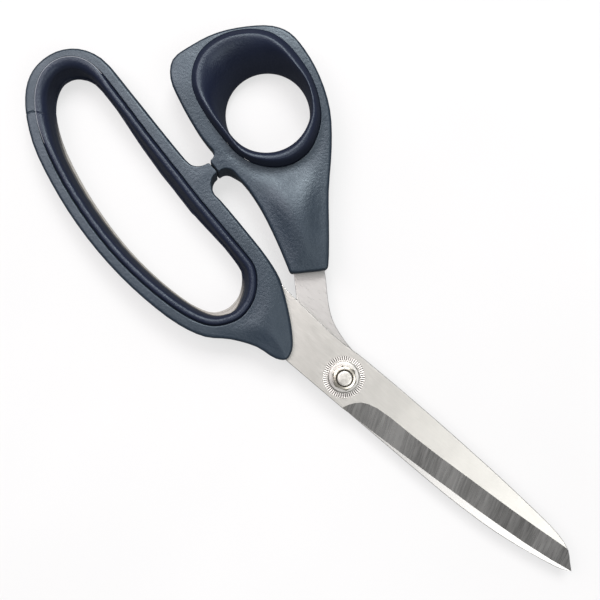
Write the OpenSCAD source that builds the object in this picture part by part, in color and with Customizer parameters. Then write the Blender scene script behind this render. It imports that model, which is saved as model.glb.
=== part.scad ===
// Fabric shears: two ground steel blades on an adjustable pivot bolt, each blade moulded into
// a hard plastic handle whose bow is lined with a softer grip.
// Origin: on the pivot axis, in the plane the shears lie on.
// X runs to the blade tips, Y to the thumb bow, Z up through the pivot bolt.

/* [Blades] */
// Stock thickness of each blade
blade_t = 3; // [2.4:0.1:3.2]
// Running gap between the two blades
blade_gap = 0.05; // [0.03:0.01:0.1]
// Thickness left along each cutting edge
edge_t = 0.16; // [0.1:0.02:0.6]
// Depth of the hollow ground into each inner face
hollow_d = 0.1; // [0.04:0.02:0.2]
// Diameter of the anchor holes in the finger tang
finger_anchor_d = 4; // [3:0.2:5]
// Diameter of the anchor holes in the thumb tang
thumb_anchor_d = 5; // [3:0.2:6]

/* [Pivot] */
// Diameter of the bolt's shank
bolt_d = 5; // [4:0.1:5.4]
// Diameter of the bolt's head
head_d = 10; // [8:0.5:12]
// Height of the bolt's head, from the resting plane to the lower blade
head_h = 3.2; // [2.8:0.1:3.6]
// Diameter of the washer under the nut
washer_d = 10.4; // [9.6:0.2:10.6]
// Thickness of the washer
washer_t = 0.9; // [0.6:0.1:1.2]
// Width of the nut across its flats
nut_af = 7.2; // [7:0.1:8]
// Height of the nut
nut_h = 3.9; // [3:0.1:4.5]
// Length of bolt that stands above the nut
bolt_proud = 0.8; // [0.4:0.1:1.5]
// Number of radial marks in the coined tension dial
dial_marks = 56; // [24:1:60]
// Inner radius of the tension dial
dial_r = 5.5; // [5.4:0.1:5.8]
// Radial length of each dial mark
dial_w = 1.35; // [0.8:0.05:1.5]
// Depth of each dial mark
dial_depth = 0.12; // [0.05:0.01:0.2]

/* [Handles] */
// Height of the finger frame above the resting plane
handle_h = 12.5; // [12:0.1:14]
// Extra height of the thumb frame at the far side of its bow
bow_rise = 2.2; // [0:0.1:3]
// Height of the thumb liner's rim above the frame, on the side nearest the pivot
rim_rise = 5.4; // [4:0.1:6.5]
// Height of that rim above the frame at the far side of the bow
rim_far_rise = 1.7; // [1.6:0.1:3]
// Crown of the frames' broad top faces
crown = 0.9; // [0:0.1:1.4]
// Clearance between a frame and its liner
liner_gap = 0.08; // [0.06:0.01:0.15]
// Diameter of the thumb bow's throat
throat_d = 28.2; // [27:0.2:29]
// Steps of curve between neighbouring outline points
curve_steps = 3; // [2:1:3]

/* [Hidden] */

steel = [0.80, 0.78, 0.75];
nickel = [0.74, 0.73, 0.71];
slate = [0.16, 0.18, 0.21];
grip = [0.19, 0.20, 0.24];
nylon = [0.30, 0.28, 0.25];

low_z = head_h;
mid_z = low_z + blade_t;
up_z = mid_z + blade_gap;
top_z = up_z + blade_t;
washer_z = top_z + 0.03;
nut_z = washer_z + washer_t + 0.02;
bolt_top = nut_z + nut_h + bolt_proud;
bore_r = bolt_d / 2 + 0.05;
flat_w = bolt_d * 0.42;
throat = [-75.5, 49.9];
finger_anchors = [[-30.5, 2], [-29, -5]];
thumb_anchors = [[-39.5, 25.5], [-45.5, 33.5]];

// ---- curves ----
function knot(t, p, q) = t + sqrt(max(norm(q - p), 0.01));
function blend(p, q, s, t, u) = ((t - u) * p + (u - s) * q) / (t - s);
function curve_point(a, b, c, d, f) =
    let (t1 = knot(0, a, b))
    let (t2 = knot(t1, b, c))
    let (t3 = knot(t2, c, d))
    let (u = t1 + (t2 - t1) * f)
    let (e = blend(a, b, 0, t1, u))
    let (g = blend(b, c, t1, t2, u))
    let (h = blend(c, d, t2, t3, u))
    blend(blend(e, g, 0, t2, u), blend(g, h, t1, t3, u), t1, t2, u);
function closed_curve(p, m) =
    let (n = len(p))
    [for (i = [0 : n - 1]) for (k = [0 : m - 1])
        curve_point(p[(i + n - 1) % n], p[i], p[(i + 1) % n], p[(i + 2) % n], k / m)];
function open_curve(p, m) =
    let (n = len(p))
    concat([for (i = [0 : n - 2]) for (k = [0 : m - 1])
        curve_point(i > 0 ? p[i - 1] : 2 * p[0] - p[1], p[i], p[i + 1],
                    i < n - 2 ? p[i + 2] : 2 * p[n - 1] - p[n - 2], k / m)], [p[n - 1]]);

function unit(v) = v / norm(v);
// Unit normals of a clockwise loop, pointing to its outside
function normals(p) =
    let (n = len(p))
    [for (i = [0 : n - 1])
        let (t = unit(p[(i + 1) % n] - p[(i + n - 1) % n]))
        [-t[1], t[0]]];
function ease(f) = let (g = min(max(f, 0), 1)) g * g * (3 - 2 * g);

// Skin of a closed ring of sections: rings[j][k] is point k of the section at station j
module ring_skin(rings, clockwise = false) {
    n = len(rings);
    m = len(rings[0]);
    polyhedron(
        points = [for (r = rings) each r],
        faces = [for (j = [0 : n - 1]) for (k = [0 : m - 1])
            let (a = j * m + k)
            let (b = j * m + (k + 1) % m)
            let (c = ((j + 1) % n) * m + (k + 1) % m)
            let (d = ((j + 1) % n) * m + k)
            each (clockwise ? [[a, b, c], [a, c, d]] : [[c, b, a], [d, c, a]])],
        convexity = 8);
}

// ---- blade outlines ----
// Upper blade: spine from the tang to the tip, cutting edge back, then the tang
upper_spine = [[-38.4, 8.2], [-36.2, 9.9], [-33, 9.6], [-25, 9], [-15, 8.4], [-8, 8.2], [0, 8.8],
               [30, 8.9], [50, 8.5], [60, 8.2], [70, 7.7], [80, 7.1], [87, 6.3], [92.2, 4.7],
               [96, 2], [99, -0.2]];
upper_edge = [[99, -0.2], [91, -1.7], [81, -3.1], [71, -4.1], [61, -4.95], [50, -5.7], [40, -6.4],
              [30, -7], [20, -7.6], [6, -8.1], [-18, -8.1]];
upper_tang = [[-27, -8.4], [-33, -10], [-35.2, -6], [-35.6, -1], [-37.8, 4]];
// Lower blade: cutting edge from the tang to the tip, spine back, then the tang
lower_edge = [[-27.1, 22.3], [-25, 20.5], [-20, 15.7], [-15, 12], [-10, 10], [-5, 8.8], [1, 8],
              [20, 7.4], [30, 6.8], [40, 6.2], [50, 5.5], [61, 4.7], [71, 3.8], [81, 2.7], [91, 1.2],
              [98.6, -0.5]];
lower_spine = [[98.6, -0.5], [96, -1.9], [91, -3.2], [81, -5.2], [71, -6.7], [61, -7.5], [50, -8],
               [20, -8.1], [-6, -8.1]];
lower_tang = [[-16.5, 0], [-28.5, 9.6], [-34.2, 15], [-36.6, 17.4], [-41, 21], [-46.5, 26],
              [-50.5, 33], [-51, 39], [-48.5, 41.5], [-44.5, 38.5], [-36, 29.6], [-31, 24.6]];

module upper_outline() {
    polygon(concat(open_curve(upper_spine, 2), open_curve(upper_edge, 1), upper_tang));
}

module lower_outline() {
    polygon(concat(open_curve(lower_edge, 2), open_curve(lower_spine, 2), lower_tang));
}

// Holes through a tang, where the moulding locks into the blade
module anchor_holes(points, r, z, h) {
    for (p = points)
        translate([p[0], p[1], z])
            cylinder(r = r, h = h, $fn = 32);
}

// Bevel stations: point on the ridge line, point on the edge, share of the full depth
bevel = [[[5.6, -8.8], [5.8, -9.6], 0], [[6.1, -8], [6.6, -8.3], 0.04],
         [[7, -6], [8, -8.1], 0.4], [[8.2, -4.2], [9.6, -8.05], 0.64],
         [[9.8, -2.6], [11.4, -8], 0.82], [[12, -1.5], [13.4, -7.9], 0.94],
         [[15, -0.7], [16, -7.8], 1], [[20, -0.2], [20.5, -7.55], 1],
         [[30, 0], [30.5, -7], 1], [[40, 0.5], [40.5, -6.4], 1],
         [[50, 1.1], [50.5, -5.7], 1], [[60, 1.8], [61, -4.95], 1],
         [[70, 2.6], [71, -4.1], 1], [[80, 3.5], [81, -3.1], 1],
         [[92.2, 4.7], [91, -1.7], 1], [[99.5, 5.4], [101.5, -0.1], 1]];

// Cutter whose lower skin is the bevel of a blade with its outer face at z = 0, edge below
module bevel_cutter() {
    n = len(bevel);
    rings = [for (s = bevel)
        let (b = s[0])
        let (drop = (blade_t - edge_t) * s[2])
        let (e = s[1] + (s[1] - b) * 0.4)
        [[b[0], b[1], 0], [e[0], e[1], -drop * 1.4], [e[0], e[1], 1], [b[0], b[1], 1]]];
    polyhedron(
        points = [for (r = rings) each r],
        faces = concat([[3, 2, 1, 0]], [[4 * n - 4, 4 * n - 3, 4 * n - 2, 4 * n - 1]],
            [for (j = [0 : n - 2]) for (k = [0 : 3])
                let (a = 4 * j + k)
                let (b = 4 * j + (k + 1) % 4)
                each [[b + 4, a + 4, a], [b, b + 4, a]]]),
        convexity = 6);
}

// Long shallow hollow in the inner face of a blade that stands on z = 0
module hollow_cutter() {
    r = 60;
    translate([12, -2.8, hollow_d - r])
        rotate([0, 0, 3.8])
            rotate([0, 90, 0])
                cylinder(r = r, h = 73, $fn = 96);
}

// ---- steel parts ----
module upper_blade() {
    color(steel)
        difference() {
            translate([0, 0, up_z])
                linear_extrude(blade_t)
                    upper_outline();
            translate([0, 0, top_z])
                bevel_cutter();
            translate([0, 0, up_z])
                hollow_cutter();
            anchor_holes(finger_anchors, finger_anchor_d / 2, up_z - 1, blade_t + 2);
            translate([0, 0, up_z - 1])
                cylinder(r = bore_r, h = blade_t + 2, $fn = 48);
            for (i = [0 : dial_marks - 1])
                rotate([0, 0, i * 360 / dial_marks])
                    translate([dial_r, -0.13, top_z - dial_depth])
                        cube([dial_w, 0.26, 1]);
        }
}

module lower_blade() {
    color(steel)
        difference() {
            translate([0, 0, low_z])
                linear_extrude(blade_t)
                    lower_outline();
            translate([0, 0, low_z])
                rotate([180, 0, 0])
                    bevel_cutter();
            translate([0, 0, mid_z])
                rotate([180, 0, 0])
                    hollow_cutter();
            anchor_holes(thumb_anchors, thumb_anchor_d / 2, low_z - 1, blade_t + 2);
            translate([0, 0, low_z - 1])
                keyed_shank(0.02, blade_t + 2);
        }
}

// Round shank with two flats that key the bolt into the lower blade
module keyed_shank(gap, h) {
    intersection() {
        cylinder(r = bolt_d / 2 + gap, h = h, $fn = 48);
        translate([-bolt_d, -flat_w - gap, 0])
            cube([2 * bolt_d, 2 * (flat_w + gap), h]);
    }
}

module pivot_bolt() {
    color(nickel)
        union() {
            rotate_extrude($fn = 64)
                polygon([[0, 0], [head_d / 2 - 1.1, 0], [head_d / 2 - 0.35, 0.3],
                         [head_d / 2, 1.1], [head_d / 2, head_h - 0.02], [0, head_h - 0.02]]);
            translate([0, 0, head_h - 0.5])
                keyed_shank(0, blade_t + 0.5);
            translate([0, 0, head_h + blade_t - 0.01])
                cylinder(r = bolt_d / 2, h = bolt_top - head_h - blade_t - 0.49, $fn = 48);
            translate([0, 0, bolt_top - 0.5])
                cylinder(r1 = bolt_d / 2, r2 = bolt_d / 2 - 0.5, h = 0.5, $fn = 48);
        }
}

module pivot_washer() {
    color(nickel)
        translate([0, 0, washer_z])
            difference() {
                union() {
                    cylinder(d = washer_d, h = washer_t * 0.6, $fn = 64);
                    translate([0, 0, washer_t * 0.6])
                        cylinder(d1 = washer_d, d2 = washer_d - 0.6, h = washer_t * 0.4, $fn = 64);
                }
                translate([0, 0, -1])
                    cylinder(r = bore_r + 0.05, h = washer_t + 2, $fn = 48);
            }
}

module pivot_nut() {
    color(nickel)
        translate([0, 0, nut_z])
            difference() {
                intersection() {
                    rotate([0, 0, 19.5])
                        cylinder(d = nut_af / cos(30), h = nut_h, $fn = 6);
                    union() {
                        cylinder(d = nut_af * 1.16, h = nut_h - 0.7, $fn = 64);
                        translate([0, 0, nut_h - 0.7])
                            cylinder(d1 = nut_af * 1.16, d2 = nut_af * 0.9, h = 0.7, $fn = 64);
                    }
                }
                translate([0, 0, -1])
                    cylinder(r = bolt_d / 2 + 0.03, h = nut_h + 2, $fn = 48);
                translate([0, 0, nut_h - 1.1])
                    cylinder(r = bolt_d / 2 + 0.5, h = 2, $fn = 48);
            }
}

module nut_lock_ring() {
    color(nylon)
        translate([0, 0, nut_z + nut_h - 1.08])
            difference() {
                cylinder(r = bolt_d / 2 + 0.48, h = 0.8, $fn = 48);
                translate([0, 0, -1])
                    cylinder(r = bolt_d / 2 + 0.03, h = 3, $fn = 48);
            }
}

// ---- finger half mouldings ----
// Clockwise: a point on the frame's outline, the matching point on the liner's seam, and how
// far in from the seam the liner's foot reaches
finger_pairs = [
    [[-141.5, 12.5], [-138.8, 13.5], 4.6], [[-139.6, 19.9], [-137, 19.5], 4.9],
    [[-134.6, 25.4], [-132.5, 23.5], 5], [[-127, 27.9], [-126, 24.7], 4.4],
    [[-115, 26.1], [-114.5, 22.5], 4.1], [[-100, 23.2], [-100, 19.3], 5],
    [[-88, 21], [-89, 17.1], 5.5], [[-84.6, 20.5], [-85.3, 16.4], 5.5],
    [[-82.2, 20.5], [-82.6, 15.9], 5.5], [[-80.4, 21.25], [-80.8, 15.5], 5.5],
    [[-79.3, 22.6], [-79.4, 15.2], 5.5], [[-78.7, 23.9], [-78.4, 15], 5.5],
    [[-78.3, 24.2], [-77.6, 14.85], 5.5], [[-76.4, 23.95], [-76.4, 14.6], 5.5],
    [[-74.7, 23.75], [-75.2, 14.35], 5.5], [[-74.4, 23.45], [-74.4, 14.2], 5.5],
    [[-74.45, 22.1], [-73.6, 14], 5.5], [[-74.1, 20.7], [-72.6, 13.85], 5.5],
    [[-72.9, 19.2], [-71.4, 13.65], 5.3], [[-70.8, 18.1], [-69.6, 13.35], 5.3],
    [[-68, 17.9], [-66.5, 12.8], 5.1], [[-55, 15.7], [-57, 11.2], 4.6],
    [[-45, 13.7], [-50, 10], 4.9], [[-36.9, 11], [-45.4, 8.8], 5.5],
    [[-28.8, 5.7], [-41.4, 5.4], 5.8], [[-21.4, -0.5], [-38.8, 1.2], 5.9],
    [[-18.4, -4.3], [-37.9, -2], 5.8], [[-17.9, -7.8], [-37.7, -5], 5.8],
    [[-20.9, -9.9], [-38.2, -8], 5.6], [[-28, -11], [-40, -11.5], 5],
    [[-36, -14.6], [-43, -14.9], 4.5], [[-42.8, -19.3], [-47, -17], 4],
    [[-51.9, -21.9], [-54, -18.6], 3.7], [[-66, -22.7], [-67, -19.3], 3.7],
    [[-82, -21.6], [-82, -18.3], 3.8], [[-98.1, -18.5], [-97, -15.3], 3.9],
    [[-113.1, -13.7], [-112, -10.6], 4], [[-126.2, -7.7], [-124.5, -4.8], 4],
    [[-135.6, -0.3], [-133, 1.6], 4], [[-140.2, 6.2], [-137.3, 7.4], 4.4]];
finger_out = closed_curve([for (p = finger_pairs) p[0]], curve_steps);
finger_seam = closed_curve([for (p = finger_pairs) p[1]], curve_steps);
finger_seam_n = normals(finger_seam);
finger_reach = [for (i = [0 : len(finger_pairs) - 1]) for (k = [0 : curve_steps - 1])
    let (a = finger_pairs[i][2])
    let (b = finger_pairs[(i + 1) % len(finger_pairs)][2])
    a + (b - a) * k / curve_steps];

// Section of a frame: outline o, seam h, hole wall's foot f; no and nh point away from the bow
function frame_section(o, no, h, nh, f, z, dome) =
    let (a = h + nh * 0.3)
    let (b = o - no * 1)
    [[f[0] + nh[0] * 0.5, f[1] + nh[1] * 0.5, 0],
     [o[0] - no[0] * 0.9, o[1] - no[1] * 0.9, 0],
     [o[0] - no[0] * 0.2, o[1] - no[1] * 0.2, 1.2],
     [o[0], o[1], z * 0.5],
     [o[0] - no[0] * 0.15, o[1] - no[1] * 0.15, z - 1.1],
     [o[0] - no[0] * 0.4, o[1] - no[1] * 0.4, z - 0.35],
     [b[0], b[1], z],
     [b[0] * 0.67 + a[0] * 0.33, b[1] * 0.67 + a[1] * 0.33, z + dome],
     [b[0] * 0.33 + a[0] * 0.67, b[1] * 0.33 + a[1] * 0.67, z + dome],
     [a[0], a[1], z],
     [h[0], h[1], z - 0.45],
     [f[0], f[1], 1.2]];

function dome_of(o, h) = crown * ease((norm(o - h) - 4) / 16);

finger_flare = 1.6;
function finger_top(p) = handle_h - 0.8 * ease((p[0] + 45) / 25);

module finger_frame() {
    no = normals(finger_out);
    ring_skin([for (j = [0 : len(finger_out) - 1])
        let (h = finger_seam[j])
        let (nh = finger_seam_n[j])
        frame_section(finger_out[j], no[j], h, nh, h - nh * finger_flare,
            finger_top(finger_out[j]), dome_of(finger_out[j], h))]);
}

module finger_handle() {
    color(slate)
        difference() {
            finger_frame();
            translate([0, 0, up_z - 0.02])
                linear_extrude(blade_t + 0.04)
                    difference() {
                        upper_outline();
                        for (p = finger_anchors)
                            translate(p)
                                circle(r = finger_anchor_d / 2 - 0.03, $fn = 32);
                    }
        }
}

// Section of the finger liner; each station's first number is its distance in from the seam
function finger_liner_section(h, nh, z, reach) =
    [for (s = [[reach - 0.8, 0.5], [reach, 1.8], [reach - 0.1, 3.2], [2.5, z - 1.4],
               [1.9, z - 0.1], [1.1, z + 0.25], [0.4, z - 0.15], [liner_gap, z - 0.45],
               [finger_flare + liner_gap, 1.2], [finger_flare + liner_gap, 0.3]])
        [h[0] - nh[0] * s[0], h[1] - nh[1] * s[0], s[1]]];

module finger_liner() {
    color(grip)
        ring_skin([for (j = [0 : len(finger_seam) - 1])
            finger_liner_section(finger_seam[j], finger_seam_n[j],
                finger_top(finger_out[j]), finger_reach[j])], clockwise = true);
}

// ---- thumb half mouldings ----
thumb_pairs = [
    [[-76.2, 24.3], [-77.7, 33]], [[-78.1, 24.58], [-78.7, 33.2]], [[-78.5, 24.95], [-79.4, 33.3]],
    [[-78.45, 26.1], [-80.2, 33.45]], [[-79, 27.3], [-81.2, 33.6]], [[-80.3, 28.15], [-82.4, 33.85]],
    [[-82.7, 28.55], [-84.4, 34.25]], [[-86, 29.2], [-86.8, 34.8]], [[-90, 30.3], [-89.4, 35.5]],
    [[-98, 33.3], [-96.5, 38.4]], [[-105.1, 37], [-101, 42.8]], [[-108.5, 42.1], [-103, 47.3]],
    [[-106.8, 49.8], [-103.4, 52]], [[-103.3, 57.9], [-101.5, 58.5]],
    [[-97.4, 65.6], [-96.4, 65.2]], [[-91.1, 71.2], [-90.5, 69]], [[-85.5, 73.2], [-84.5, 69.9]],
    [[-78.1, 72.2], [-78, 69]], [[-69, 68.9], [-71, 67]], [[-59.6, 63], [-64.5, 63.2]],
    [[-51.5, 54.4], [-59.4, 58.2]], [[-42.8, 42.7], [-56.6, 52]], [[-33.7, 32.2], [-55.9, 48]],
    [[-27.9, 25.1], [-56.2, 45.3]], [[-27, 23.5], [-56.7, 43.5]], [[-27.6, 22.2], [-57.3, 42]],
    [[-30.9, 18.6], [-58.2, 40.4]], [[-34.8, 14.7], [-59.7, 38.5]], [[-35.5, 14.5], [-60.6, 37.6]],
    [[-38, 15.7], [-62.3, 36.2]], [[-46, 19.7], [-65, 34.6]], [[-56, 24], [-68, 33.4]],
    [[-64, 26.4], [-70.8, 32.8]], [[-69, 27.1], [-73, 32.6]], [[-71.4, 27], [-74, 32.6]],
    [[-73, 26.2], [-75, 32.7]], [[-73.85, 25], [-75.9, 32.75]], [[-74.1, 24.05], [-76.8, 32.9]]];
thumb_out = closed_curve([for (p = thumb_pairs) p[0]], curve_steps);
thumb_seam = closed_curve([for (p = thumb_pairs) p[1]], curve_steps);
thumb_seam_n = normals(thumb_seam);

// 0 on the pivot side of the thumb bow, 1 at its far side
function far_share(p) = ease((-0.82 * (p[0] + 75) + 0.57 * (p[1] - 45) + 22) / 44);
function thumb_top(p) = handle_h + bow_rise * far_share(p);
function rim_top(p) = thumb_top(p) + rim_rise + (rim_far_rise - rim_rise) * far_share(p);
// Width of the rim, in from the seam: broadest towards the pivot
function rim_width(d) =
    let (x = max(d[0], 0))
    3.15 + 0.35 * d[1] + 2.1 * pow(x, 1.5) - 1.6 * x * max(d[1], 0);

module thumb_frame() {
    no = normals(thumb_out);
    ring_skin([for (j = [0 : len(thumb_out) - 1])
        let (h = thumb_seam[j])
        let (d = unit(h - throat))
        frame_section(thumb_out[j], no[j], h, thumb_seam_n[j], throat + d * (throat_d / 2 + 2.3),
            thumb_top(h), dome_of(thumb_out[j], h) * 1.3)]);
}

module thumb_handle() {
    color(slate)
        difference() {
            thumb_frame();
            translate([0, 0, low_z - 0.02])
                linear_extrude(blade_t + 0.04)
                    difference() {
                        lower_outline();
                        for (p = thumb_anchors)
                            translate(p)
                                circle(r = thumb_anchor_d / 2 - 0.03, $fn = 32);
                    }
        }
}

// Section of the thumb liner; d points from the throat's centre to the seam
function thumb_liner_section(h, nh, d) =
    let (z = thumb_top(h))
    let (top = rim_top(h))
    let (w = rim_width(d))
    let (foot = throat + d * (throat_d / 2 + 2.3 - liner_gap))
    let (wall = throat + d * throat_d / 2)
    let (lip = h - nh * min(w + 0.5, norm(h - throat) - throat_d / 2))
    [[wall[0] + d[0] * 0.7, wall[1] + d[1] * 0.7, 0.5],
     [wall[0], wall[1], 1.6],
     [wall[0], wall[1], 3.6],
     [lip[0] * 0.6 + wall[0] * 0.4, lip[1] * 0.6 + wall[1] * 0.4, 9.5],
     [lip[0], lip[1], top - 1.8],
     [h[0] - nh[0] * (w - 0.1), h[1] - nh[1] * (w - 0.1), top - 0.35],
     [h[0] - nh[0] * (w - 0.9), h[1] - nh[1] * (w - 0.9), top],
     [h[0] - nh[0] * (w - 1.6), h[1] - nh[1] * (w - 1.6), top - 0.9],
     [h[0] - nh[0] * 0.7, h[1] - nh[1] * 0.7, z + 0.3],
     [h[0] - nh[0] * 0.4, h[1] - nh[1] * 0.4, z - 0.1],
     [h[0] - d[0] * liner_gap, h[1] - d[1] * liner_gap, z - 0.45],
     [foot[0], foot[1], 1.2],
     [foot[0], foot[1], 0.5]];

module thumb_liner() {
    color(grip)
        ring_skin([for (j = [0 : len(thumb_seam) - 1])
            let (h = thumb_seam[j])
            thumb_liner_section(h, thumb_seam_n[j], unit(h - throat))], clockwise = true);
}

lower_blade();
upper_blade();
thumb_handle();
thumb_liner();
finger_handle();
finger_liner();
pivot_bolt();
pivot_washer();
pivot_nut();
nut_lock_ring();
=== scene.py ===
import math

import bmesh
import bpy
import numpy as np
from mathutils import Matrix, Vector
from mathutils.kdtree import KDTree


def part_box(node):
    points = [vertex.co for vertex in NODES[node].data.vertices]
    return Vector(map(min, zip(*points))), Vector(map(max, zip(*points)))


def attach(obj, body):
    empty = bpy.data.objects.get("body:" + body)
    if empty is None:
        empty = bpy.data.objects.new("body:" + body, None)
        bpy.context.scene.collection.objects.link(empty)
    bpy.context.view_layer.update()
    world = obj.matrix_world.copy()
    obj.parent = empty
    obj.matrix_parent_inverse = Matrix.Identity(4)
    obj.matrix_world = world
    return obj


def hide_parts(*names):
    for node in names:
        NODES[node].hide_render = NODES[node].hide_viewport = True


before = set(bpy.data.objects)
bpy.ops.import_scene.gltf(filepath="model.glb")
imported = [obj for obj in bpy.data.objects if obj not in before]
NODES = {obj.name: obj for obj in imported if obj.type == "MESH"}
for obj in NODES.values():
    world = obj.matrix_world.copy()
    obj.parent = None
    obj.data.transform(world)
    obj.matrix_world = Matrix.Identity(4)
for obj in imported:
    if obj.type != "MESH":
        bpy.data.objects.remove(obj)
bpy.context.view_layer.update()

MM = 0.001

# Outlines and profiles are in mm, and become metres where a mesh is made.
ROUND = 1600                        # points round a handle outline
READ_AT = {"finger_handle": 4, "thumb_handle": 7.5}     # heights of the frames' outlines
HANDLE_TOP = 12.5                   # upper face of both handle frames
FINGER_DROP = 0.8                   # fall of the finger frame towards the pivot
BOW_RISE = 2.2                      # climb of the thumb frame towards the bow's far side
VIEW_CENTRE = (-27.2, 9.86)         # the point of the floor plane under the camera
VIEW_TURN = math.radians(40.43)     # the picture's right, turned from +X


# ---------- outlines read from the CAD solids ----------

def slice_loops(node, z_mm):
    """Closed outlines of a CAD node where the plane at z_mm cuts it, longest first."""
    off_vertices = 0.0137
    bm = bmesh.new()
    bm.from_mesh(NODES[node].data)
    bmesh.ops.remove_doubles(bm, verts=bm.verts, dist=2e-6)
    bmesh.ops.bisect_plane(bm, geom=bm.verts[:] + bm.edges[:] + bm.faces[:],
                           plane_co=(0, 0, (z_mm + off_vertices) * MM), plane_no=(0, 0, 1),
                           clear_inner=True, clear_outer=True)
    left = set(bm.verts)
    loops = []
    for start in bm.verts:      # in mesh order, so every run reads the same loops
        if start not in left:
            continue
        left.discard(start)
        chain, prev, cur = [start], None, start
        while True:
            nxt = [e.other_vert(cur) for e in cur.link_edges if e.other_vert(cur) is not prev]
            nxt = [v for v in nxt if v in left]
            if not nxt:
                break
            prev, cur = cur, nxt[0]
            left.discard(cur)
            chain.append(cur)
        if len(chain) > 8:
            loops.append(np.array([v.co[:2] for v in chain]) / MM)
    bm.free()
    return sorted((ccw(p) for p in loops), key=lambda p: -length(p))


def length(p):
    """Length of a closed outline."""
    return float(np.linalg.norm(np.roll(p, -1, 0) - p, axis=1).sum())


def ccw(p):
    """The outline, running anticlockwise."""
    q = np.roll(p, -1, 0)
    return p if (p[:, 0] * q[:, 1] - q[:, 0] * p[:, 1]).sum() > 0 else p[::-1].copy()


def resample(p, n):
    """n points evenly spaced round a closed outline."""
    q = np.vstack([p, p[:1]])
    s = np.concatenate([[0], np.cumsum(np.linalg.norm(np.diff(q, axis=0), axis=1))])
    t = np.linspace(0, s[-1], n, endpoint=False)
    return np.column_stack([np.interp(t, s, q[:, k]) for k in (0, 1)])


def blur(a, sigma):
    """Gaussian blur round a closed sequence; sigma in samples."""
    r = max(1, int(sigma * 3))
    k = np.exp(-0.5 * (np.arange(-r, r + 1) / sigma) ** 2)
    k /= k.sum()
    a = np.asarray(a, float)
    return sum(w * np.roll(a, o, 0) for o, w in zip(range(-r, r + 1), k))


def smooth_loop(p, n, sigma_mm):
    """The outline as n even points, blurred over sigma_mm."""
    p = resample(p, n)
    return resample(blur(p, sigma_mm * n / length(p)), n)


def outward(p):
    """Unit normals of an anticlockwise outline, pointing out."""
    t = np.roll(p, -1, 0) - np.roll(p, 1, 0)
    t /= np.linalg.norm(t, axis=1)[:, None]
    return np.column_stack([t[:, 1], -t[:, 0]])


def widest_loop(node, levels, n, sigma_mm):
    """The star-shaped loop that holds a node's outer outline at all of these heights."""
    loops = [slice_loops(node, z)[0] for z in levels]
    lo, hi = np.vstack(loops).min(0), np.vstack(loops).max(0)
    c = (lo + hi) / 2
    directions = 2400
    a = np.linspace(-math.pi, math.pi, directions, endpoint=False)
    r = np.zeros_like(a)
    for p in loops:
        d = p - c
        ang, rad = np.arctan2(d[:, 1], d[:, 0]), np.hypot(d[:, 0], d[:, 1])
        o = np.argsort(ang)
        r = np.maximum(r, np.interp(a, ang[o], rad[o], period=2 * math.pi))
    return smooth_loop(c + np.column_stack([np.cos(a), np.sin(a)]) * r[:, None], n, sigma_mm)


def paired(outer, inner):
    """For each point of outer, the point of inner across from it, moving steadily round."""
    softness = 0.012    # blur of the pairing, as a share of the way round
    n, m = len(outer), len(inner)
    d = ((outer[:, None, :] - inner[None, :, :]) ** 2).sum(2)
    j = d.argmin(1).astype(float)
    start = int(d.min(1).argmin())
    j = np.roll(j, -start)
    step = (np.diff(j, append=j[0]) + m / 2) % m - m / 2
    walk = np.concatenate([[0], np.cumsum(step)[:-1]]) + j[0]
    walk = np.maximum.accumulate(walk)
    walk = np.minimum(walk, walk[0] + m)
    drift = np.roll(walk, start)
    drift[:start] -= m
    base = np.arange(n) * m / n
    drift = blur(drift - base, n * softness) + base
    q = np.vstack([inner] * 4)
    t = (drift % m) + m
    return np.column_stack([np.interp(t, np.arange(4 * m), q[:, k]) for k in (0, 1)])


def ease(f):
    """Smooth step: 0 up to f = 0, 1 from f = 1."""
    g = np.clip(f, 0, 1)
    return g * g * (3 - 2 * g)


# ---------- meshes ----------

def torus_mesh(name, rings, body, replaced, material):
    """A closed skin from rings[k] = (n, 3) points in mm, k going round the section."""
    m, n = len(rings), len(rings[0])
    verts = np.array(rings).transpose(1, 0, 2).reshape(-1, 3) * MM
    i, k = np.meshgrid(np.arange(n), np.arange(m), indexing="ij")
    i2, k2 = (i + 1) % n, (k + 1) % m
    quads = np.stack([i * m + k, i2 * m + k, i2 * m + k2, i * m + k2], -1).reshape(-1, 4)
    mesh = bpy.data.meshes.new(name)
    mesh.from_pydata(verts.tolist(), [], quads.tolist())
    bm = bmesh.new()
    bm.from_mesh(mesh)
    bmesh.ops.recalc_face_normals(bm, faces=bm.faces)
    if bm.calc_volume(signed=True) < 0:
        bmesh.ops.reverse_faces(bm, faces=bm.faces)
    bm.to_mesh(mesh)
    bm.free()
    return place(name, mesh, body, replaced, material)


def place(name, mesh, body, replaced, material):
    """A smooth-shaded piece that rides on a body and stands for the replaced nodes, if any."""
    mesh.shade_smooth()
    ob = bpy.data.objects.new(name, mesh)
    bpy.context.scene.collection.objects.link(ob)
    mesh.materials.clear()
    mesh.materials.append(material)
    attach(ob, body)
    if replaced:
        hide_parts(*replaced)
    return ob


def flat3(p, z):
    """Outline points at height z, one height for all or one for each."""
    return np.column_stack([p, np.broadcast_to(z, len(p))])


# ---------- handle frames ----------

class Field:
    """Distance in mm from any point to a closed outline."""

    def __init__(self, loop):
        self.p = resample(loop, int(length(loop) / 0.25))
        self.tree = KDTree(len(self.p))
        for i, q in enumerate(self.p):
            self.tree.insert((*q, 0), i)
        self.tree.balance()

    def __call__(self, pts):
        n = len(self.p)
        k = np.array([self.tree.find((*q, 0))[1] for q in pts])
        best = np.full(len(pts), 1e9)
        for s in (-1, 0):
            a, b = self.p[(k + s) % n], self.p[(k + s + 1) % n]
            ab = b - a
            f = np.clip(((pts - a) * ab).sum(1) / (ab * ab).sum(1), 0, 1)
            best = np.minimum(best, np.linalg.norm(pts - a - ab * f[:, None], axis=1))
        return best


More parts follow.
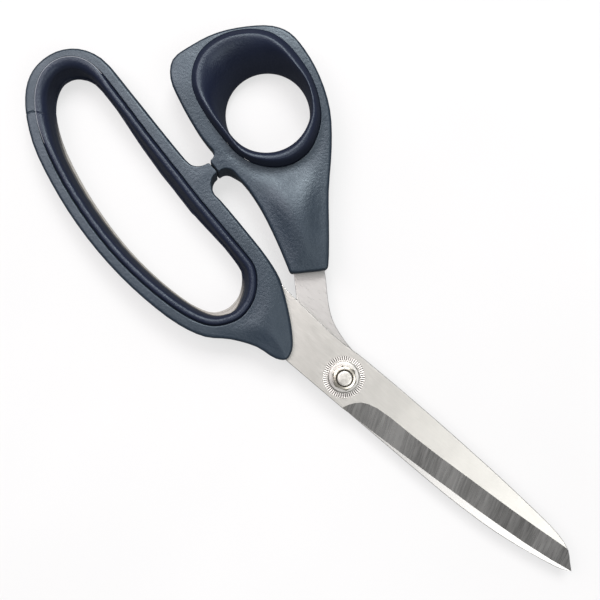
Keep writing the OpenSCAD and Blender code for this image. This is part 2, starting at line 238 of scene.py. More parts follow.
def drop(d, r):
    """Depth of a rounded edge of radius r at distance d in from it."""
    d = np.minimum(d, r)
    return r - np.sqrt(np.maximum(r * r - (r - d) ** 2, 0))


def frame_rings(outer, seam, foot, z_top, rise, edge_r, seam_r):
    """Section rings of a frame; outer, seam and foot (the bore's lower line) are paired."""
    n_in = -outward(blur(outer, 2))
    step = 0.06         # the top face starts this far in from the wall
    seam_deep = 1.0     # the frame's edge runs on this far down beside the liner
    foot_r = 1.0        # rounding of the wall's lower edge
    band = 2.4          # the wall has mesh rows this far under its parting line and its top

    def wall(a, z):
        return flat3(outer + n_in * a, z)

    def across(start, end, lead, tail, count):
        """Points from start to end: close together at both ends, even between."""
        w = np.linalg.norm(end - start, axis=1)[:, None]
        k = np.minimum(1, w / (lead[-1] + tail[0] + 0.8))
        f = [np.full_like(w, s) * k / w for s in lead]
        g = [1 - np.full_like(w, s) * k / w for s in tail]
        mid = [f[-1] + (g[0] - f[-1]) * q for q in np.linspace(0, 1, count + 2)[1:-1]]
        return [start + (end - start) * h for h in f + mid + g]

    top_edge = outer + n_in * step
    near_wall, near_seam, near_foot = Field(top_edge), Field(seam), Field(outer)
    lead = (0, 0.015, 0.06, 0.14, 0.26, 0.42, 0.62, 0.85, 1.15)     # close steps, for a round
    rings = [flat3(foot + outward(foot) * a, z) for a, z in
             ((0, 1.1), (0.08, 0.45), (0.35, 0.12))]
    for p in across(outer, foot + outward(foot) * 0.9, lead, (0.4, 0), 3)[::-1]:
        rings.append(flat3(p, drop(near_foot(p), foot_r)))
    half = z_top(outer) * 0.5
    groove = ((0, -band), (0, -0.5), (0.01, -0.12), (0.08, 0), (0.01, 0.12), (0, 0.5))
    for a, dz in groove:
        rings.append(wall(a, half + dz))
    rings.append(wall(0.03, z_top(outer) - band))
    r_edge, r_seam = edge_r(outer), seam_r(outer)
    for p in across(top_edge, seam, lead, (1.2, 0.8, 0.5, 0.3, 0.16, 0.07, 0.02, 0), 14):
        z = z_top(p) + rise(p, near_wall(p), near_seam(p))
        rings.append(flat3(p, z - drop(near_wall(p), r_edge) - drop(near_seam(p), r_seam)))
    rings.append(flat3(seam, z_top(seam) - seam_deep))
    return rings


def stop_centre():
    """Where the frames come closest at rest, and the way from the finger's to the thumb's."""
    a, b = (resample(slice_loops(n, z)[0], 1500) for n, z in READ_AT.items())
    d = ((a[:, None] - b[None]) ** 2).sum(2)
    i, j = np.unravel_index(d.argmin(), d.shape)
    return (a[i] + b[j]) / 2, (b[j] - a[i]) / np.linalg.norm(b[j] - a[i])


def lean(rings):
    """Beside the stop both halves lean the same way, so the gap between them is oblique."""
    reach, fade = 5.0, 3.5
    shift, level, climb = 0.55, 8.0, 6.0
    for ring in rings:
        near = 1 - ease((np.linalg.norm(ring[:, :2] - STOP, axis=1) - reach) / fade)
        ring[:, :2] += STOP_WAY * (near * shift * (ring[:, 2] - level) / climb)[:, None]
    return rings


def near_stop(p, reach):
    """1 at the stop, falling off round it as a bell curve of this reach."""
    return np.exp(-((p - STOP) ** 2).sum(1) / (2 * reach ** 2))


def edge_radius(p):
    """Rounding of the upper outer edge: crisp at the stop, softer elsewhere."""
    return 0.95 - 0.7 * near_stop(p, 6.0)


def finger_top(p):
    """Height of the finger frame's upper edges."""
    return HANDLE_TOP - FINGER_DROP * ease((p[:, 0] + 45) / 25)


def outer_line(node):
    """Outline of a handle frame."""
    return smooth_loop(slice_loops(node, READ_AT[node])[0], ROUND, 0.16)


def finger_loops():
    """Outline of the finger frame, and the seam where its liner starts."""
    return outer_line("finger_handle"), widest_loop("finger_liner", (11.1, 11.5, 12.0), ROUND, 0.8)


def knit_line(p):
    """Depth of the fine crack where the plastic met in the mould."""
    depth, width = 0.3, 0.17
    way = [np.array(q) for q in ((-135.8, -4.4), (-133.5, -1.8), (-132.5, 0.1), (-128.0, 2.7),
                                 (-125.8, 3.2))]
    best = np.full(len(p), 9.0)
    for s, e in zip(way, way[1:]):
        f = np.clip(((p - s) @ (e - s)) / ((e - s) @ (e - s)), 0, 1)
        best = np.minimum(best, np.linalg.norm(p - s - (e - s) * f[:, None], axis=1))
    return depth * np.exp(-(best / width) ** 2)


def finger_frame(material):
    """Hard frame of the finger bow."""
    outer, seam = finger_loops()
    seam = paired(outer, seam)
    foot = seam - outward(seam) * 1.6

    def rise(p, d_wall, d_seam):
        level = 0.7 - 0.5 * near_stop(p, 7)
        return level * ease(d_wall / 7) * ease(d_seam / 7) - knit_line(p)

    rings = frame_rings(outer, seam, foot, finger_top, rise, edge_radius,
                        lambda p: 0.3 - 0.24 * ease((-112 - p[:, 0]) / 12))
    return torus_mesh("finger_frame", lean(rings), "finger_half",
                      ["finger_handle"], material)


def finger_grip(material, seam_highlight):
    """Liner of the finger bow: a bead along the bars, and a plain roll round the far end."""
    ledge_z, bead_low = 1.8, 2.1
    _, seam = finger_loops()
    hole = resample(slice_loops("finger_liner", ledge_z)[-1], ROUND)
    n = -outward(blur(seam, 3))
    reach = paired(seam, hole)
    across = reach - seam
    w = np.linalg.norm(across, axis=1)
    u = across / w[:, None]
    top = finger_top(seam)
    far = ease((-118 - seam[:, 0]) / 12)[:, None]
    depth = top - ledge_z

    def bead(t, z):
        return flat3(seam + n * t, top + z)

    ledge = 0.8 + 1.0 * ease(-seam[:, 1] / 8)
    ledge = np.clip(np.minimum(ledge, w - 3.3), 0.15, None)

    def wall(t0, f, z):
        """f goes from 0 at the bead's inner edge to 1 where the ledge starts."""
        t = t0 + np.maximum(w - ledge - t0, 0.1) * f
        return flat3(seam + (n * (1 - f) + u * f) * t[:, None], z)

    plain = [(0.03, -1.0), (0.03, -0.3), (0.035, -0.06), (0.06, 0.0), (0.3, 0.01), (0.5, 0),
             (0.8, 0), (1.15, -0.02), (1.5, -0.08), (1.85, -0.18), (2.2, -0.34), (2.6, -0.6),
             (2.95, -0.95), (3.3, -1.45), (3.6, -2.1)]
    beaded = [(0.12, -1.1), (0.16, -0.8), (0.3, -0.62), (0.45, -0.4), (0.62, -0.1), (0.85, 0.1),
              (1.2, 0.2), (1.6, 0.2), (2.0, 0.1), (2.3, -0.08), (2.55, -0.35), (2.74, -0.7),
              (2.86, -1.15), (2.92, -1.6), (2.95, -2.1)]
    rings = [flat3(seam + n * 1.72, 1.2)]
    for (t0, z0), (t1, z1) in zip(beaded, plain):
        rings.append(bead(t0, z0) * (1 - far) + bead(t1, z1) * far)
    for q in np.linspace(0, 1, 11)[1:]:
        z = top - bead_low - (depth - bead_low) * q
        rings.append(wall(2.95, q ** 1.1, z) * (1 - far) + wall(3.6, q ** 0.9, z) * far)
    for share, z in ((0.9, 1.72), (0.6, 1.6), (0.52, 1.5), (0.44, 1.58), (0.15, 1.5), (0, 1.3)):
        rings.append(flat3(reach - u * (ledge * share)[:, None], z))
    for t, z in ((0.02, 1.0), (0.14, 0.7), (0.4, 0.5), (0.9, 0.42)):
        rings.append(flat3(reach - u * t, z))
    rings.append(flat3(seam + n * 1.8, 0.5))
    for ring in rings[4:20]:    # the upper side
        ring[:, 2] -= knit_line(ring[:, :2])
    ob = torus_mesh("finger_grip", rings, "finger_half", ["finger_liner"], material)
    ob.data.materials.append(seam_highlight)
    for i in np.flatnonzero(far[:, 0] > 0.4):
        for k in (3, 4):        # the strip beside the seam, painted pale as a highlight on its edge
            ob.data.polygons[i * len(rings) + k].material_index = 1
    return ob


def thumb_loops():
    """Outline of the thumb frame, its liner's seam, and the throat's centre and radius."""
    outer = outer_line("thumb_handle")
    seam = widest_loop("thumb_liner", (11.9, 12.3, 12.8, 13.3, 13.8, 14.1), ROUND, 1.0)
    throat = resample(slice_loops("thumb_liner", 2.6)[-1], 720)
    c = throat.mean(0)
    return outer, seam, c, float(np.linalg.norm(throat - c, axis=1).mean())


def far_share(p):
    """0 on the pivot's side of the thumb bow, 1 on its far side."""
    return ease((-0.82 * (p[:, 0] + 75) + 0.57 * (p[:, 1] - 45) + 22) / 44)


def thumb_top(p):
    """Height of the thumb frame's upper edges."""
    return HANDLE_TOP + BOW_RISE * far_share(p)


def thumb_frame(material):
    """Hard frame of the thumb bow, swelling between the liner and the shank."""
    outer, seam, c, r = thumb_loops()
    seam = paired(outer, seam)
    d = seam - c
    d /= np.linalg.norm(d, axis=1)[:, None]
    foot = c + d * (r + 2.3)
    hump = c + np.array([25.0, -19.5])      # where the swelling peaks
    way = np.array([0.84, -0.54])           # its long axis, towards the blade

    def rise(p, d_wall, d_seam):
        near = 1 - far_share(p)
        dish = 1.8 * (1 - np.exp(-(d_seam / 9) ** 2)) * ease(d_wall / 9)
        along = (p - hump) @ way
        across = (p - hump) @ np.array([-way[1], way[0]])
        reach = np.where(along > 0, 13.0, 7.5)
        bump = dish * np.exp(-0.5 * ((along / reach) ** 2 + (across / 9) ** 2))
        valley = 0.25 * near * np.exp(-((d_seam - 2.0) / 2.4) ** 2) * ease(d_wall / 5)
        return 0.2 * ease(d_wall / 7) * ease(d_seam / 8) + bump - valley

    rings = frame_rings(outer, seam, foot, thumb_top, rise, edge_radius,
                        lambda p: 0.3 - 0.24 * far_share(p))
    return torus_mesh("thumb_frame", lean(rings), "thumb_half",
                      ["thumb_handle"], material)


def bezier(p0, p1, p2, p3, f):
    """The point at f along the cubic curve from p0 to p3."""
    g = 1 - f
    return g ** 3 * p0 + 3 * g * g * f * p1 + 3 * g * f * f * p2 + f ** 3 * p3


def thumb_grip(material):
    """Liner of the thumb bow: a collar, highest towards the pivot, over a round throat."""
    rim_rise, rim_fall, wall_foot = 5.4, 3.75, 3.4
    _, seam, c, r = thumb_loops()
    n = -outward(blur(seam, 3))
    d = seam - c
    d /= np.linalg.norm(d, axis=1)[:, None]
    low = thumb_top(seam)
    far = far_share(seam)
    near = 1 - far
    rim = low + rim_rise - rim_fall * far
    x = np.maximum(d[:, 0], 0)
    # w: how far in from the seam the collar's inner side stands, wider towards the blade
    w = blur(3.15 + 0.35 * d[:, 1] + 2.1 * x ** 1.5 - 1.6 * x * np.maximum(d[:, 1], 0), 12)
    crest = w - 1.0 - 1.25 * near * ease((d[:, 0] + 0.3) / 0.7)

    def at(t, z):
        return flat3(seam + n * np.broadcast_to(t, len(seam))[:, None], z)

    rings = [flat3(c + d * (r + 2.2), 1.2), at(0.04 + 0.1 * near, low - 1.0),
             at(0.04 + 0.12 * near, low - 0.1 - 0.5 * near),
             at(0.06 + 0.18 * near, low - 0.03 - 0.37 * near)]
    up0, up3 = at(0.12 + 0.26 * near, low - 0.12 * near), at(crest, rim)
    up1 = at(0.35 + crest * (0.22 - 0.12 * near), low + (rim - low) * (0.42 + 0.16 * near))
    up2 = at(crest * (0.62 - 0.2 * near), rim)
    for f in np.linspace(0, 1, 15)[:-1]:
        rings.append(bezier(up0, up1, up2, up3, f))
    wall = c + d * r
    gap = wall - up3[:, :2]
    down1 = flat3(up3[:, :2] + gap * (0.42 + 0.42 * near)[:, None], rim)
    down2 = flat3(wall - gap * (0.02 + 0.12 * far)[:, None],
                  wall_foot + (rim - wall_foot) * (0.86 - 0.36 * far))
    down3 = flat3(wall, wall_foot)
    for f in np.linspace(0, 1, 26):
        rings.append(bezier(up3, down1, down2, down3, f))
    for a, z in ((0, 2.4), (0.02, 1.6), (0.12, 1.1), (0.35, 0.75), (0.7, 0.6), (1.3, 0.55),
                 (2.0, 0.6)):
        rings.append(flat3(c + d * (r + a), z))
    return torus_mesh("thumb_grip", rings, "thumb_half", ["thumb_liner"], material)


# ---------- pivot hardware ----------

NUT_BORE, THREAD_R, THREAD_ROOT = 2.56, 2.49, 2.3


def lathe(name, sections, body, replaced, material, closed, n=240, sharp=22):
    """Turned piece: sections lists (radius, height), each a number or a function of the angle.

    A closed one is a ring, whose last section joins its first. sharp is in degrees.
    """
    a = np.arange(n) * 2 * math.pi / n
    verts, faces = [], []
    for radius, height in sections:
        r, z = (v(a) if callable(v) else np.full(n, v) for v in (radius, height))
        verts += np.column_stack([r * np.cos(a), r * np.sin(a), z]).tolist()
    rows = len(sections)
    for k in range(rows if closed else rows - 1):
        k2 = (k + 1) % rows
        faces += [(k * n + i, k * n + (i + 1) % n, k2 * n + (i + 1) % n, k2 * n + i)
                  for i in range(n)]
    if not closed:
        faces += [tuple(range(n))[::-1], tuple(range((rows - 1) * n, rows * n))]
    mesh = bpy.data.meshes.new(name)
    mesh.from_pydata((np.array(verts) * MM).tolist(), [], faces)
    bm = bmesh.new()
    bm.from_mesh(mesh)
    bmesh.ops.recalc_face_normals(bm, faces=bm.faces)
    bm.to_mesh(mesh)
    bm.free()
    ob = place(name, mesh, body, replaced, material)
    mesh.set_sharp_from_angle(angle=math.radians(sharp))
    return ob


def node_z(node):
    """Lowest and highest z of a CAD node."""
    low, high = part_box(node)
    return low.z / MM, high.z / MM


def hex_radius(across_flats, turn):
    """Radius of a hexagon against the angle, with its corners trimmed."""
    trim = 0.06

    def radius(a):
        s = (a - turn + math.pi / 6) % (math.pi / 3) - math.pi / 6
        r = across_flats / 2 / np.cos(s)
        return np.minimum(r, across_flats / 2 / math.cos(math.pi / 6) - trim)
    return radius


def pivot_nut(material):
    """Hexagon nut, chamfered below and domed above, with a well for the lock ring."""
    z0, z1 = node_z("pivot_nut")
    flats, foot_r, chamfer = 7.2, 3.5, 1.73
    hexagon = hex_radius(flats, math.radians(49.5))

    def cut(depth):
        return lambda a: np.minimum(hexagon(a), foot_r + depth * chamfer)

    rows = [(NUT_BORE, z0 + 0.4), (2.85, z0 + 0.05), (3.0, z0)]
    rows += [(cut(h), z0 + h) for h in np.linspace(0, 0.46, 9)]
    rows += [(hexagon, z0 + 0.7), (hexagon, z1 - 1.2)]
    for r in np.linspace(4.14, 2.9, 18):
        fall = 0.17 * (r - 2.9) + 0.42 * max(0, (r - 3.45) / 0.69) ** 1.6
        rows.append((lambda a, r=r: np.minimum(hexagon(a), r), z1 - fall))
    rows += [(2.86, z1), (2.83, z1 - 0.02), (2.81, z1 - 0.07), (2.81, z1 - 0.2),
             (3.04, z1 - 0.26), (3.04, z1 - 1.05), (NUT_BORE, z1 - 1.08)]
    return lathe("pivot_nut_hex", rows, "tension_nut", ["pivot_nut"],
                 material, True)


def lock_ring(material):
    """Nylon ring pressed into the nut's well."""
    z0, z1 = node_z("nut_lock_ring")
    rows = [(NUT_BORE, z0), (2.97, z0), (2.99, z1 - 0.42), (2.9, z1 - 0.31), (2.78, z1 - 0.28),
            (2.66, z1 - 0.3), (2.58, z1 - 0.4)]
    return lathe("lock_ring", rows, "tension_nut", ["nut_lock_ring"], material, True)


def pivot_bolt(material):
    """Domed head under the lower blade, plain shank, threaded end with a rounded tip."""
    z1 = node_z("pivot_bolt")[1]
    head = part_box("pivot_bolt")[1].x / MM
    seat, shank_r, shank_end = 3.18, 2.44, 9.4
    rows = [(0.01, 0.35), (1.35, 0.35), (1.5, 0.2), (1.62, 0.02), (head - 1.4, 0),
            (head - 0.95, 0.06), (head - 0.5, 0.26), (head - 0.2, 0.58), (head - 0.05, 1.0),
            (head, 1.5), (head, seat - 0.2), (head - 0.08, seat - 0.04), (head - 0.25, seat),
            (shank_r, seat), (shank_r, shank_end)]
    pitch = 0.8
    z = shank_end + 0.2
    while z < z1 - 0.62:
        rows += [(THREAD_R, z), (THREAD_R, z + 0.1), (THREAD_ROOT, z + 0.4),
                 (THREAD_ROOT, z + 0.5)]
        z += pitch
    rows += [(THREAD_R, z1 - 0.42), (2.44, z1 - 0.3), (2.36, z1 - 0.16), (2.24, z1 - 0.06),
             (2.1, z1 - 0.02), (1.5, z1), (0.01, z1)]
    return lathe("pivot_stud", rows, "thumb_half", ["pivot_bolt"], material, False)


def pivot_washer(material):
    """Flat washer under the nut, its rim turned and its faces barely broken."""
    z0, z1 = node_z("pivot_washer")
    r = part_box("pivot_washer")[1].x / MM
    bore = 2.66
    rows = [(bore, z0 + 0.06), (2.72, z0), (r - 0.08, z0), (r - 0.01, z0 + 0.08), (r, z0 + 0.3),
            (r - 0.06, z0 + 0.52), (r - 0.2, z1 - 0.14), (r - 0.42, z1 - 0.02), (r - 0.6, z1),
            (2.8, z1), (bore, z1 - 0.08)]
    return lathe("pivot_washer_disc", rows, "thumb_half", ["pivot_washer"],
                 material, True)


# ---------- blades ----------

DIAL_IN, DIAL_OUT, DIAL_SUNK, DIAL_MARKS = 5.25, 6.95, 0.16, 56


def cut_ring(mesh, z_top):
    """The mesh with a ring-shaped pocket cut for the stamped dial."""
    n = 3 * DIAL_MARKS
    low, high = z_top - DIAL_SUNK, z_top + 0.4
    bm = bmesh.new()
    rows = [[bm.verts.new((r * math.cos(i * math.tau / n) * MM,
                           r * math.sin(i * math.tau / n) * MM, z * MM)) for i in range(n)]
            for r, z in ((DIAL_IN, low), (DIAL_OUT, low), (DIAL_OUT, high), (DIAL_IN, high))]
    for k in range(4):
        for i in range(n):
            bm.faces.new((rows[k][i], rows[k][(i + 1) % n], rows[(k + 1) % 4][(i + 1) % n],
                          rows[(k + 1) % 4][i]))
    bmesh.ops.recalc_face_normals(bm, faces=bm.faces)
    tool = bpy.data.meshes.new("ring_tool")
    bm.to_mesh(tool)
    bm.free()
    pair = [bpy.data.objects.new(m.name, m) for m in (mesh, tool)]
    for ob in pair:
        bpy.context.scene.collection.objects.link(ob)
    mod = pair[0].modifiers.new("cut", "BOOLEAN")
    mod.operation, mod.object, mod.solver = "DIFFERENCE", pair[1], "EXACT"
    bpy.context.view_layer.update()
    done = bpy.data.meshes.new_from_object(pair[0].evaluated_get(
        bpy.context.evaluated_depsgraph_get()))
    for ob in pair:
        bpy.data.objects.remove(ob)
    return done


def dial(flat, dial_mark_highlight, dial_groove_shade):
    """Ring of raised radial marks stamped into the upper blade round the pivot; the marks' tops
    are painted bright as a highlight, and the sunk faces are painted dark as shade.
    """
    z_top = node_z("upper_blade")[1]
    face = z_top - 0.006                    # just under the blade's own face
    bottom = z_top - DIAL_SUNK + 0.01
    inner, outer = DIAL_IN + 0.01, DIAL_OUT - 0.01
    struck_deep, mark_in, mark_out = 0.13, 5.42, 6.8

    def height(sunk):
        def z(a):
            f = np.abs((a * DIAL_MARKS / math.tau) % 1 - 0.5)
            return face - struck_deep * sunk * ease((f - 0.24) / 0.12)
        return z

    rows = [(inner, bottom), (inner, face), (5.36, height(0)), (mark_in, height(0.3)),
            (5.5, height(0.9))]
    rows += [(r, height(1)) for r in (5.6, 5.8, 6.1, 6.4, 6.6)]
    rows += [(6.72, height(0.9)), (mark_out, height(0.3)), (6.86, height(0)), (outer, face),
             (outer, bottom)]
    ob = lathe("dial_marks", rows, "finger_half", None, flat, True,
               n=DIAL_MARKS * 14, sharp=50)
    ob.data.materials.append(dial_mark_highlight)
    ob.data.materials.append(dial_groove_shade)
    for p in ob.data.polygons:
        turn = (math.atan2(p.center.y, p.center.x) * DIAL_MARKS / math.tau) % 1 - 0.5
        # the marks' tops take the bright steel, a painted highlight; the sunk faces take the dark
        # steel, painted shade
        if abs(turn) < 0.29 and mark_in < p.center.xy.length / MM < mark_out:
            p.material_index = 1
        elif p.center.z < (z_top - 0.03) * MM:
            p.material_index = 2
    return ob


def arrises(bm, tall):
    """Convex edges between a blade's walls and its faces, clear of the pivot hole.

    The tall ones are those of a full-height wall and a flat face; the rest meet a ground face
    or belong to a low wall.
    """
    clear_of_pivot, tall_wall = 8 * MM, 1.2 * MM
    found = []
    for e in bm.edges:
        if len(e.link_faces) != 2 or not e.is_convex:
            continue
        wall, top = sorted(e.link_faces, key=lambda f: abs(f.normal.z))
        mid = (e.verts[0].co + e.verts[1].co) / 2
        if abs(wall.normal.z) > 0.05 or abs(top.normal.z) < 0.9:
            continue
        zs = [v.co.z for v in wall.verts]
        is_tall = max(zs) - min(zs) > tall_wall and abs(top.normal.z) > 0.998
        if mid.xy.length >= clear_of_pivot and is_tall == tall:
            found.append(e)
    return found


def blade(node, name, body, flat, ground):
    """The CAD blade with its arrises broken, and its ground faces given their own finish."""
    source = NODES[node].data.copy()
    if node == "upper_blade":
        source = cut_ring(source, node_z(node)[1])
    bm = bmesh.new()
    bm.from_mesh(source)
    bmesh.ops.remove_doubles(bm, verts=bm.verts, dist=1e-6)
    bmesh.ops.dissolve_limit(bm, angle_limit=math.radians(0.4), verts=bm.verts, edges=bm.edges)
    for offset, tall, count in ((0.2 * MM, True, 4), (0.08 * MM, False, 2)):
        bmesh.ops.bevel(bm, geom=arrises(bm, tall), offset=offset, segments=count, profile=0.5,
                        affect="EDGES", clamp_overlap=False)
    mesh = bpy.data.meshes.new(name)
    bm.to_mesh(mesh)
    bm.free()
    bpy.data.meshes.remove(source)
    ob = place(name, mesh, body, [node], flat)
    mesh.materials.append(ground)
    for p in mesh.polygons:
        if 0.85 < abs(p.normal.z) < 0.995:      # a ground face slopes gently
            p.material_index = 1
    mesh.set_sharp_from_angle(angle=math.radians(9))
    split_tones(mesh)
    return ob


def split_tones(mesh):
    """Mark as sharp the edges where two finishes meet."""
    sharp = mesh.attributes["sharp_edge"].data
    tone = {}
    for p in mesh.polygons:
        for k in p.edge_keys:
            tone.setdefault(k, set()).add(p.material_index)
    for e in mesh.edges:
        if len(tone.get(e.key, ())) == 2:
            sharp[e.index].value = True


# ---------- materials ----------

class Tree:
    """Short-hand for building a node material in object coordinates."""

    def __init__(self, name, **sockets):
        self.mat = bpy.data.materials.new(name)
        self.mat.use_nodes = True
        self.nt = self.mat.node_tree
        self.bsdf = self.nt.nodes["Principled BSDF"]
        for k, v in sockets.items():
            self.bsdf.inputs[k.replace("_", " ")].default_value = v
        self.co = self.node("ShaderNodeTexCoord").outputs["Object"]

    def node(self, kind, **values):
        n = self.nt.nodes.new(kind)
        for k, v in values.items():
            if k in n.inputs:
                n.inputs[k].default_value = v
            else:
                setattr(n, k, v)
        return n

    def link(self, a, b):
        self.nt.links.new(a, b)

    def scaled(self, scale, turn=0.0):
        """Object coordinates turned back about Z by turn, then multiplied by scale."""
        m = self.node("ShaderNodeMapping", vector_type="TEXTURE")
        m.inputs["Scale"].default_value = [1 / s for s in scale]
        m.inputs["Rotation"].default_value = (0, 0, turn)
        self.link(self.co, m.inputs["Vector"])
        return m.outputs["Vector"]

    def noise(self, scale, detail=3.0, rough=0.5, vector=None):
        n = self.node("ShaderNodeTexNoise", Scale=scale, Detail=detail, Roughness=rough)
        self.link(vector or self.co, n.inputs["Vector"])
        return n.outputs["Fac"]

    def ramp(self, fac, stops):
        r = self.node("ShaderNodeValToRGB")
        while len(r.color_ramp.elements) < len(stops):
            r.color_ramp.elements.new(0.5)
        for e, (pos, col) in zip(r.color_ramp.elements, stops):
            e.position = pos
            e.color = (*col, 1) if len(col) == 3 else (col[0], col[0], col[0], 1)
        self.link(fac, r.inputs["Fac"])
        return r.outputs["Color"]

    def mixed(self, fac, a, b):
        m = self.node("ShaderNodeMix", data_type="RGBA")
        self.link(fac, m.inputs[0])
        for socket, v in ((m.inputs[6], a), (m.inputs[7], b)):
            if isinstance(v, tuple):
                socket.default_value = (*v, 1)
            else:
                self.link(v, socket)
        return m.outputs[2]

    def maths(self, op, a, b=None, c=None):
        m = self.node("ShaderNodeMath", operation=op)
        for k, v in enumerate((a, b, c)):
            if v is None:
                continue
            if isinstance(v, (int, float)):
                m.inputs[k].default_value = v
            else:
                self.link(v, m.inputs[k])
        return m.outputs[0]

    def clamped(self, a):
        return self.maths("MINIMUM", self.maths("MAXIMUM", a, 0.0), 1.0)

    def part(self, vector, axis):
        xyz = self.node("ShaderNodeSeparateXYZ")
        self.link(vector, xyz.inputs[0])
        return xyz.outputs[axis]

    def bump(self, height, strength, distance, normal=None):
        b = self.node("ShaderNodeBump", Strength=strength, Distance=distance)
        self.link(height, b.inputs["Height"])
        if normal:
            self.link(normal, b.inputs["Normal"])
        return b.outputs["Normal"]


def plastic(name, dark, light, rough, grain, foot=None, gloss_level=0.5):
    """Moulded plastic: spark-eroded grain, a few specks of lint, and duller upright walls.

    foot is the pale colour that the lowest 5 mm fade to, on the side towards -Y: a painted
    reflection of the pale floor low on the walls.
    """
    lint, dull = (0.5, 0.5, 0.5), (0.95, 0.95, 0.95)
    t = Tree(name, Specular_IOR_Level=gloss_level, Specular_Tint=(0.79, 0.92, 1.0, 1))
    colour = t.ramp(t.noise(60, 4, 0.6), [(0.3, dark), (0.7, light)])
    cells = t.node("ShaderNodeTexVoronoi", Scale=150.0)
    t.link(t.co, cells.inputs["Vector"])
    near = t.maths("LESS_THAN", cells.outputs["Distance"], 0.05)
    rare = t.maths("GREATER_THAN", cells.outputs["Color"], 0.8)
    colour = t.mixed(t.maths("MULTIPLY", near, rare), colour, lint)
    # the pale foot low on the -Y side is a painted reflection of the floor in the walls
    if foot:
        side = t.clamped(t.maths("MULTIPLY_ADD", t.part(t.co, "Y"), -120.0, 0.4))
        for slope, start, share in ((-900.0, 4.7, 0.3), (-2500.0, 5.6, 1.0)):
            low = t.clamped(t.maths("MULTIPLY_ADD", t.part(t.co, "Z"), slope, start))
            colour = t.mixed(t.maths("MULTIPLY", low, side), colour,
                             tuple(c * share for c in foot))
    t.link(colour, t.bsdf.inputs["Base Color"])
    gloss = t.ramp(t.noise(180, 3, 0.6), [(0.3, (rough - 0.06,)), (0.75, (rough + 0.07,))])
    up = t.part(t.node("ShaderNodeNewGeometry").outputs["Normal"], "Z")
    steep = t.clamped(t.maths("MULTIPLY_ADD", t.maths("ABSOLUTE", up), -2.2, 1.55))
    t.link(t.mixed(steep, gloss, dull), t.bsdf.inputs["Roughness"])
    fine = t.bump(t.noise(grain, 2, 0.6), 0.4, 0.00006)
    mid = t.bump(t.noise(grain * 0.4, 3, 0.6), 0.45, 0.00022, fine)
    t.link(t.bump(t.noise(90, 2, 0.5), 0.25, 0.0004, mid), t.bsdf.inputs["Normal"])
    return t.mat


def steel(name, base, rough, stretch, broad, dark=0.86, bump=0.2, share=0.5, turn=0.0):
    """Ground steel: fine lines, long along the axis where stretch is small, over a broad shade.

    dark is the darkest tone's share of base, and share is the broad shade's part in the mix.
    """
    t = Tree(name, Metallic=1.0)
    lines = t.noise(1.0, 4, 0.65, t.scaled(stretch, turn))
    shade = t.noise(1.0, 3, 0.6, t.scaled(broad, turn))
    mix = t.maths("ADD", t.maths("MULTIPLY", lines, 1 - share), t.maths("MULTIPLY", shade, share))
    t.link(t.ramp(mix, [(0.38, [c * dark for c in base]), (0.62, base)]),
           t.bsdf.inputs["Base Color"])
    t.link(t.ramp(lines, [(0.25, (rough - 0.07,)), (0.8, (rough + 0.09,))]),
           t.bsdf.inputs["Roughness"])
    t.link(t.bump(lines, bump, 0.00002), t.bsdf.inputs["Normal"])
    return t.mat


# ---------- scene ----------

def camera():
    """Looks straight down on VIEW_CENTRE; width is what it sees across at the floor, in mm."""
    distance, width = 290, 202.4
    cam = bpy.data.cameras.new("camera")
    cam.sensor_width = 36
    cam.lens = 36 * distance / width
    cam.clip_start = 0.01
    ob = bpy.data.objects.new("camera", cam)
    ob.location = [v * MM for v in (*VIEW_CENTRE, distance)]
    ob.rotation_euler = (0, 0, VIEW_TURN)
    bpy.context.scene.collection.objects.link(ob)
    bpy.context.scene.camera = ob


def area_light(name, where, aim, size, watts, colour):
    """Square soft light standing at where and facing aim."""
    li = bpy.data.lights.new(name, "AREA")
    li.shape = "SQUARE"
    li.size = size
    li.energy = watts
    li.color = colour
    ob = bpy.data.objects.new(name, li)
    ob.location = where
    ob.rotation_euler = (Vector(aim) - Vector(where)).to_track_quat("-Z", "Y").to_euler()
    bpy.context.scene.collection.objects.link(ob)


def room():
    """White surroundings, dimmer as a light on the object than as a backdrop."""
    lighting, backdrop = 0.3, 0.78
    world = bpy.data.worlds.new("studio")
    world.use_nodes = True
    tree = world.node_tree
    glow = tree.nodes["Background"].inputs
    glow["Color"].default_value = (1, 1, 1, 1)
    seen = tree.nodes.new("ShaderNodeMapRange")
    seen.inputs["To Min"].default_value = lighting
    seen.inputs["To Max"].default_value = backdrop
    tree.links.new(tree.nodes.new("ShaderNodeLightPath").outputs["Is Camera Ray"],
                   seen.inputs["Value"])
    tree.links.new(seen.outputs["Result"], glow["Strength"])
    bpy.context.scene.world = world
    bpy.context.scene.view_settings.view_transform = "Standard"


def lights():
    """Square soft lights, placed by metres right and up in the picture and above the floor."""
    right = Vector((math.cos(VIEW_TURN), math.sin(VIEW_TURN), 0))
    up = Vector((-math.sin(VIEW_TURN), math.cos(VIEW_TURN), 0))
    mid = Vector([v * MM for v in (*VIEW_CENTRE, 0)])

    def soft(name, r, u, z, size, radiance, colour=(1, 1, 1)):
        area_light(name, mid + right * r + up * u + Vector((0, 0, z)), mid, size,
                   radiance * math.pi * size * size, colour)

    soft("overhead", 0.05, 0.05, 1.1, 0.6, 0.35)
    soft("sky_left", -0.48, 0.38, 1.0, 0.66, 5.9, (1, 0.9, 0.925))
    soft("sky_right", 0.5, -0.43, 1.0, 0.68, 3.0)
    soft("key", 0.1, 0.7, 1.05, 0.52, 18.0)
    soft("fill", -0.95, 0.6, 0.7, 0.6, 1.0)


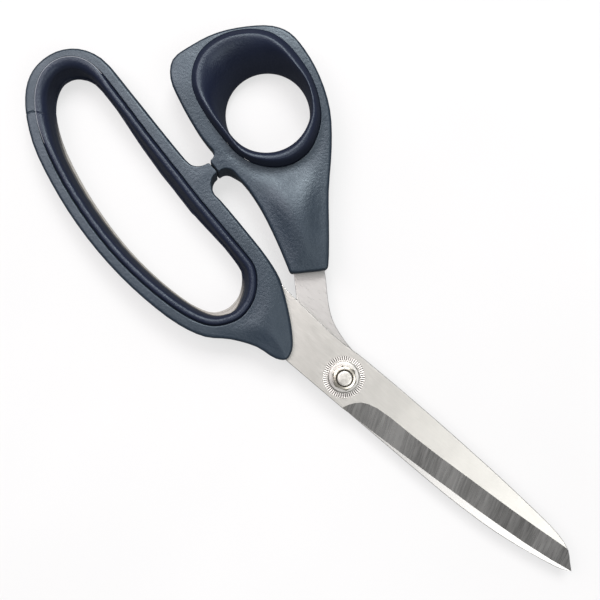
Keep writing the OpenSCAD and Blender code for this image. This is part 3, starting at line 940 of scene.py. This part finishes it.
def floor():
    """Pale paper just under the shears; it glows, so that it stays white round the shadows."""
    half, z = 3.0, -0.05 * MM
    mesh = bpy.data.meshes.new("floor")
    mesh.from_pydata([(-half, -half, z), (half, -half, z), (half, half, z), (-half, half, z)],
                     [], [(0, 1, 2, 3)])
    ob = bpy.data.objects.new("floor", mesh)
    bpy.context.scene.collection.objects.link(ob)
    t = Tree("paper", Roughness=0.95, Emission_Color=(1, 1, 1, 1), Emission_Strength=0.63)
    t.link(t.ramp(t.noise(6, 3, 0.6), [(0.3, (0.185,)), (0.7, (0.205,))]),
           t.bsdf.inputs["Base Color"])
    mesh.materials.append(t.mat)
    ob.visible_glossy = False


def handles():
    """Both bows: a hard frame and a softer liner each."""
    slate = plastic("slate_plastic", (0.0055, 0.0105, 0.0185), (0.0085, 0.015, 0.026), 0.4, 2600,
                    gloss_level=0.56)
    # the grip's pale foot is a painted reflection of the floor low on its walls
    grip = plastic("grip_rubber", (0.005, 0.007, 0.018), (0.008, 0.011, 0.026), 0.38, 3200,
                   foot=(0.3, 0.285, 0.26), gloss_level=0.36)
    # a pale strip by the finger liner's seam at the far end: a painted highlight
    seam_highlight = plastic("seam_painted_highlight", (0.12, 0.125, 0.14), (0.2, 0.21, 0.235), 0.6, 2600)
    finger_frame(slate)
    finger_grip(grip, seam_highlight)
    thumb_frame(slate)
    thumb_grip(grip)


def blades():
    """Both blades, and the dial stamped into the upper one."""
    along, even = (260, 9000, 900), (70, 70, 70)
    fine, soft = (900, 900, 900), (300, 300, 300)
    flat = steel("blade_satin", (0.53, 0.52, 0.49), 0.36, along, even)
    inner = steel("blade_inner", (0.53, 0.52, 0.505), 0.32, along, even, dark=0.93, bump=0.08)
    ground = steel("blade_ground", (0.72, 0.71, 0.695), 0.28, (1300, 50, 200), (75, 6, 30),
                   dark=0.5, bump=0.4, share=0.6, turn=math.radians(25))
    # the dial's mark tops are painted bright as a highlight, and its sunk faces are painted dark
    # as shade
    dial_mark_highlight = steel("blade_dial_mark_highlight", (0.80, 0.78, 0.75), 0.42, fine, soft)
    dial_groove_shade = steel("blade_dial_groove_shade", (0.17, 0.165, 0.155), 0.55, fine, soft)
    blade("upper_blade", "blade_upper", "finger_half", flat, ground)
    blade("lower_blade", "blade_lower", "thumb_half", inner, ground)
    dial(flat, dial_mark_highlight, dial_groove_shade)


def pivot():
    """Bolt, washer, nut and the nut's lock ring."""
    fine = (900, 900, 900)
    nickel = steel("pivot_nickel", (0.66, 0.625, 0.545), 0.22, fine, (200, 200, 200))
    stud = steel("stud_nickel", (0.66, 0.645, 0.6), 0.38, fine, (500, 500, 500), dark=0.75)
    disc = steel("washer_steel", (0.58, 0.57, 0.545), 0.42, fine, (300, 300, 300))
    nylon = plastic("nylon", (0.05, 0.035, 0.02), (0.08, 0.06, 0.04), 0.45, 1500)
    pivot_bolt(stud)
    pivot_washer(disc)
    pivot_nut(nickel)
    lock_ring(nylon)


STOP, STOP_WAY = stop_centre()
camera()
room()
lights()
floor()
handles()
blades()
pivot()
